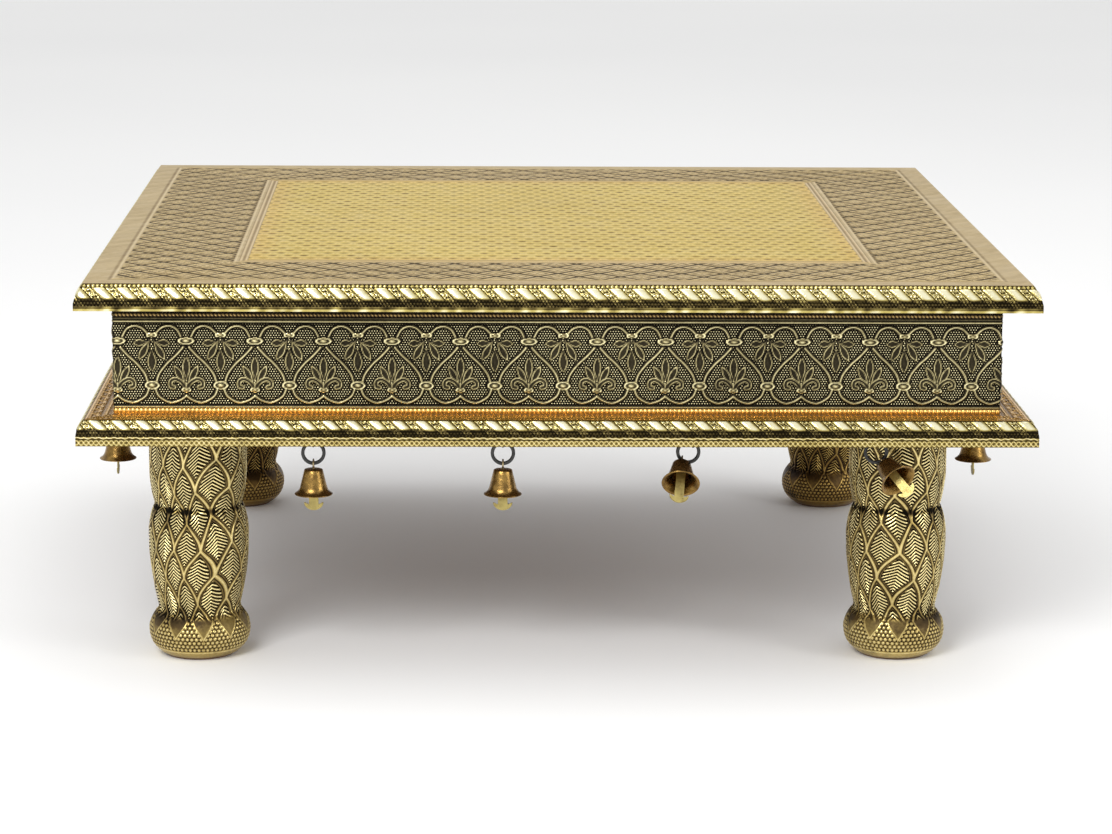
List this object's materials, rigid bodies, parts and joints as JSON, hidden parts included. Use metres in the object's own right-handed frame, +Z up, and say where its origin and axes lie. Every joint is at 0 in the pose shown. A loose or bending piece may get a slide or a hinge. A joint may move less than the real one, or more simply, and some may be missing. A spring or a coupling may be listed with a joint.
{
  "type": "low brass-clad table",
  "caption": "Low square wooden table clad in embossed brass sheet: moulded top and base slabs, apron box, turned legs, and small bells hanging under the base.",
  "frame": {"origin": "on the floor under the centre of the table", "axes": "+Z up; +X to the right along the front; -Y faces the front, the side with four bells in view"},
  "size_m": [0.406, 0.406, 0.171],
  "materials": {
    "wood": "sawn, unfinished inside, stained underneath",
    "brass_sheet": "thin sheet embossed in relief, dark tarnish in the recesses, rubbed bright on the high parts",
    "panel_brass": "thin sheet with a fine stamped pattern, rubbed bright",
    "bell_metal": "cast and tarnished brown",
    "clapper_brass": "stamped plate, worn",
    "ring_steel": "dark wire",
    "screw_steel": "bright zinc"
  },
  "bodies": {
    "table": {"top_board": "wood", "top_edge_cladding": "brass_sheet", "top_border_sheet": "brass_sheet", "panel_trim": "brass_sheet", "centre_panel": "panel_brass", "apron_board_front": "wood", "apron_board_back": "wood", "apron_board_left": "wood", "apron_board_right": "wood", "corner_blocks": "wood", "apron_cladding": "brass_sheet", "leg_screws": "screw_steel", "leg_front_left": "wood", "leg_cladding_front_left": "brass_sheet", "leg_front_right": "wood", "leg_cladding_front_right": "brass_sheet", "leg_back_left": "wood", "leg_cladding_back_left": "brass_sheet", "leg_back_right": "wood", "leg_cladding_back_right": "brass_sheet", "bell_staples": "ring_steel", "base_edge_cladding": "brass_sheet", "base_board": "wood"},
    "ring_front_1": {"bell_ring_front_1": "ring_steel"},
    "cup_front_1": {"bell_front_1": "bell_metal"},
    "clapper_front_1": {"bell_clapper_front_1": "clapper_brass"},
    "ring_back_1": {"bell_ring_back_1": "ring_steel"},
    "cup_back_1": {"bell_back_1": "bell_metal"},
    "clapper_back_1": {"bell_clapper_back_1": "clapper_brass"},
    "ring_front_2": {"bell_ring_front_2": "ring_steel"},
    "cup_front_2": {"bell_front_2": "bell_metal"},
    "clapper_front_2": {"bell_clapper_front_2": "clapper_brass"},
    "ring_back_2": {"bell_ring_back_2": "ring_steel"},
    "cup_back_2": {"bell_back_2": "bell_metal"},
    "clapper_back_2": {"bell_clapper_back_2": "clapper_brass"},
    "ring_front_3": {"bell_ring_front_3": "ring_steel"},
    "cup_front_3": {"bell_front_3": "bell_metal"},
    "clapper_front_3": {"bell_clapper_front_3": "clapper_brass"},
    "ring_back_3": {"bell_ring_back_3": "ring_steel"},
    "cup_back_3": {"bell_back_3": "bell_metal"},
    "clapper_back_3": {"bell_clapper_back_3": "clapper_brass"},
    "ring_front_4": {"bell_ring_front_4": "ring_steel"},
    "cup_front_4": {"bell_front_4": "bell_metal"},
    "clapper_front_4": {"bell_clapper_front_4": "clapper_brass"},
    "ring_back_4": {"bell_ring_back_4": "ring_steel"},
    "cup_back_4": {"bell_back_4": "bell_metal"},
    "clapper_back_4": {"bell_clapper_back_4": "clapper_brass"},
    "ring_left_1": {"bell_ring_left_1": "ring_steel"},
    "cup_left_1": {"bell_left_1": "bell_metal"},
    "clapper_left_1": {"bell_clapper_left_1": "clapper_brass"},
    "ring_right_1": {"bell_ring_right_1": "ring_steel"},
    "cup_right_1": {"bell_right_1": "bell_metal"},
    "clapper_right_1": {"bell_clapper_right_1": "clapper_brass"},
    "ring_left_2": {"bell_ring_left_2": "ring_steel"},
    "cup_left_2": {"bell_left_2": "bell_metal"},
    "clapper_left_2": {"bell_clapper_left_2": "clapper_brass"},
    "ring_right_2": {"bell_ring_right_2": "ring_steel"},
    "cup_right_2": {"bell_right_2": "bell_metal"},
    "clapper_right_2": {"bell_clapper_right_2": "clapper_brass"}
  },
  "joints": [
    {"name": "ring_swing_front_1", "type": "hinge", "parent": "table", "child": "ring_front_1", "pos_m": [-0.104, -0.186, 0.0991], "axis": [0, 1, 0], "range_deg": [-30, 30]},
    {"name": "bell_tilt_front_1", "type": "hinge", "parent": "ring_front_1", "child": "cup_front_1", "pos_m": [-0.104, -0.186, 0.09145], "axis": [1, 0, 0], "range_deg": [-60, 45]},
    {"name": "clapper_swing_front_1", "type": "hinge", "parent": "cup_front_1", "child": "clapper_front_1", "pos_m": [-0.104, -0.186, 0.0857], "axis": [1, 0, 0], "range_deg": [-22, 22]},
    {"name": "ring_swing_back_1", "type": "hinge", "parent": "table", "child": "ring_back_1", "pos_m": [0.104, 0.186, 0.0991], "axis": [0, -1, 0], "range_deg": [-30, 30]},
    {"name": "bell_tilt_back_1", "type": "hinge", "parent": "ring_back_1", "child": "cup_back_1", "pos_m": [0.104, 0.186, 0.09145], "axis": [-1, 0, 0], "range_deg": [-60, 45]},
    {"name": "clapper_swing_back_1", "type": "hinge", "parent": "cup_back_1", "child": "clapper_back_1", "pos_m": [0.104, 0.186, 0.0857], "axis": [-1, 0, 0], "range_deg": [-22, 22]},
    {"name": "ring_swing_front_2", "type": "hinge", "parent": "table", "child": "ring_front_2", "pos_m": [-0.0234, -0.186, 0.0991], "axis": [0, 1, 0], "range_deg": [-30, 30]},
    {"name": "bell_tilt_front_2", "type": "hinge", "parent": "ring_front_2", "child": "cup_front_2", "pos_m": [-0.0234, -0.186, 0.09145], "axis": [1, 0, 0], "range_deg": [-60, 45]},
    {"name": "clapper_swing_front_2", "type": "hinge", "parent": "cup_front_2", "child": "clapper_front_2", "pos_m": [-0.0234, -0.186, 0.0857], "axis": [1, 0, 0], "range_deg": [-22, 22]},
    {"name": "ring_swing_back_2", "type": "hinge", "parent": "table", "child": "ring_back_2", "pos_m": [0.0234, 0.186, 0.0991], "axis": [0, -1, 0], "range_deg": [-30, 30]},
    {"name": "bell_tilt_back_2", "type": "hinge", "parent": "ring_back_2", "child": "cup_back_2", "pos_m": [0.0234, 0.186, 0.09145], "axis": [-1, 0, 0], "range_deg": [-60, 45]},
    {"name": "clapper_swing_back_2", "type": "hinge", "parent": "cup_back_2", "child": "clapper_back_2", "pos_m": [0.0234, 0.186, 0.0857], "axis": [-1, 0, 0], "range_deg": [-22, 22]},
    {"name": "ring_swing_front_3", "type": "hinge", "parent": "table", "child": "ring_front_3", "pos_m": [0.0575, -0.186, 0.0991], "axis": [0, 1, 0], "range_deg": [-67, 1]},
    {"name": "bell_tilt_front_3", "type": "hinge", "parent": "ring_front_3", "child": "cup_front_3", "pos_m": [0.0529, -0.186, 0.09299], "axis": [0.9925, 0, -0.1219], "range_deg": [-7, 98]},
    {"name": "clapper_swing_front_3", "type": "hinge", "parent": "cup_front_3", "child": "clapper_front_3", "pos_m": [0.05247, -0.19059, 0.08956], "axis": [0.9925, 0, -0.1219], "range_deg": [-44, 0]},
    {"name": "ring_swing_back_3", "type": "hinge", "parent": "table", "child": "ring_back_3", "pos_m": [-0.0575, 0.186, 0.0991], "axis": [0, -1, 0], "range_deg": [-30, 30]},
    {"name": "bell_tilt_back_3", "type": "hinge", "parent": "ring_back_3", "child": "cup_back_3", "pos_m": [-0.0575, 0.186, 0.09145], "axis": [-1, 0, 0], "range_deg": [-60, 45]},
    {"name": "clapper_swing_back_3", "type": "hinge", "parent": "cup_back_3", "child": "clapper_back_3", "pos_m": [-0.0575, 0.186, 0.0857], "axis": [-1, 0, 0], "range_deg": [-22, 22]},
    {"name": "ring_swing_front_4", "type": "hinge", "parent": "table", "child": "ring_front_4", "pos_m": [0.134, -0.186, 0.0991], "axis": [0, 1, 0], "range_deg": [-1, 67]},
    {"name": "bell_tilt_front_4", "type": "hinge", "parent": "ring_front_4", "child": "cup_front_4", "pos_m": [0.1386, -0.186, 0.09299], "axis": [0.7547, 0, 0.6561], "range_deg": [-12, 63]},
    {"name": "clapper_swing_front_4", "type": "hinge", "parent": "cup_front_4", "child": "clapper_front_4", "pos_m": [0.14113, -0.19027, 0.09009], "axis": [0.7547, 0, 0.6561], "range_deg": [-42, 2]},
    {"name": "ring_swing_back_4", "type": "hinge", "parent": "table", "child": "ring_back_4", "pos_m": [-0.134, 0.186, 0.0991], "axis": [0, -1, 0], "range_deg": [-30, 30]},
    {"name": "bell_tilt_back_4", "type": "hinge", "parent": "ring_back_4", "child": "cup_back_4", "pos_m": [-0.134, 0.186, 0.09145], "axis": [-1, 0, 0], "range_deg": [-60, 15]},
    {"name": "clapper_swing_back_4", "type": "hinge", "parent": "cup_back_4", "child": "clapper_back_4", "pos_m": [-0.134, 0.186, 0.0857], "axis": [-1, 0, 0], "range_deg": [-22, 22]},
    {"name": "ring_swing_left_1", "type": "hinge", "parent": "table", "child": "ring_left_1", "pos_m": [-0.194, -0.112, 0.0991], "axis": [1, 0, 0], "range_deg": [-30, 30]},
    {"name": "bell_tilt_left_1", "type": "hinge", "parent": "ring_left_1", "child": "cup_left_1", "pos_m": [-0.194, -0.112, 0.09145], "axis": [0, -1, 0], "range_deg": [-60, 45]},
    {"name": "clapper_swing_left_1", "type": "hinge", "parent": "cup_left_1", "child": "clapper_left_1", "pos_m": [-0.194, -0.112, 0.0857], "axis": [0, -1, 0], "range_deg": [-22, 22]},
    {"name": "ring_swing_right_1", "type": "hinge", "parent": "table", "child": "ring_right_1", "pos_m": [0.1885, -0.112, 0.0991], "axis": [-1, 0, 0], "range_deg": [-30, 30]},
    {"name": "bell_tilt_right_1", "type": "hinge", "parent": "ring_right_1", "child": "cup_right_1", "pos_m": [0.1885, -0.112, 0.09145], "axis": [0, 1, 0], "range_deg": [-60, 45]},
    {"name": "clapper_swing_right_1", "type": "hinge", "parent": "cup_right_1", "child": "clapper_right_1", "pos_m": [0.1885, -0.112, 0.0857], "axis": [0, 1, 0], "range_deg": [-22, 22]},
    {"name": "ring_swing_left_2", "type": "hinge", "parent": "table", "child": "ring_left_2", "pos_m": [-0.194, 0.112, 0.0991], "axis": [1, 0, 0], "range_deg": [-30, 30]},
    {"name": "bell_tilt_left_2", "type": "hinge", "parent": "ring_left_2", "child": "cup_left_2", "pos_m": [-0.194, 0.112, 0.09145], "axis": [0, -1, 0], "range_deg": [-60, 45]},
    {"name": "clapper_swing_left_2", "type": "hinge", "parent": "cup_left_2", "child": "clapper_left_2", "pos_m": [-0.194, 0.112, 0.0857], "axis": [0, -1, 0], "range_deg": [-22, 22]},
    {"name": "ring_swing_right_2", "type": "hinge", "parent": "table", "child": "ring_right_2", "pos_m": [0.1885, 0.112, 0.0991], "axis": [-1, 0, 0], "range_deg": [-30, 30]},
    {"name": "bell_tilt_right_2", "type": "hinge", "parent": "ring_right_2", "child": "cup_right_2", "pos_m": [0.1885, 0.112, 0.09145], "axis": [0, 1, 0], "range_deg": [-60, 45]},
    {"name": "clapper_swing_right_2", "type": "hinge", "parent": "cup_right_2", "child": "clapper_right_2", "pos_m": [0.1885, 0.112, 0.0857], "axis": [0, 1, 0], "range_deg": [-22, 22]}
  ]
}
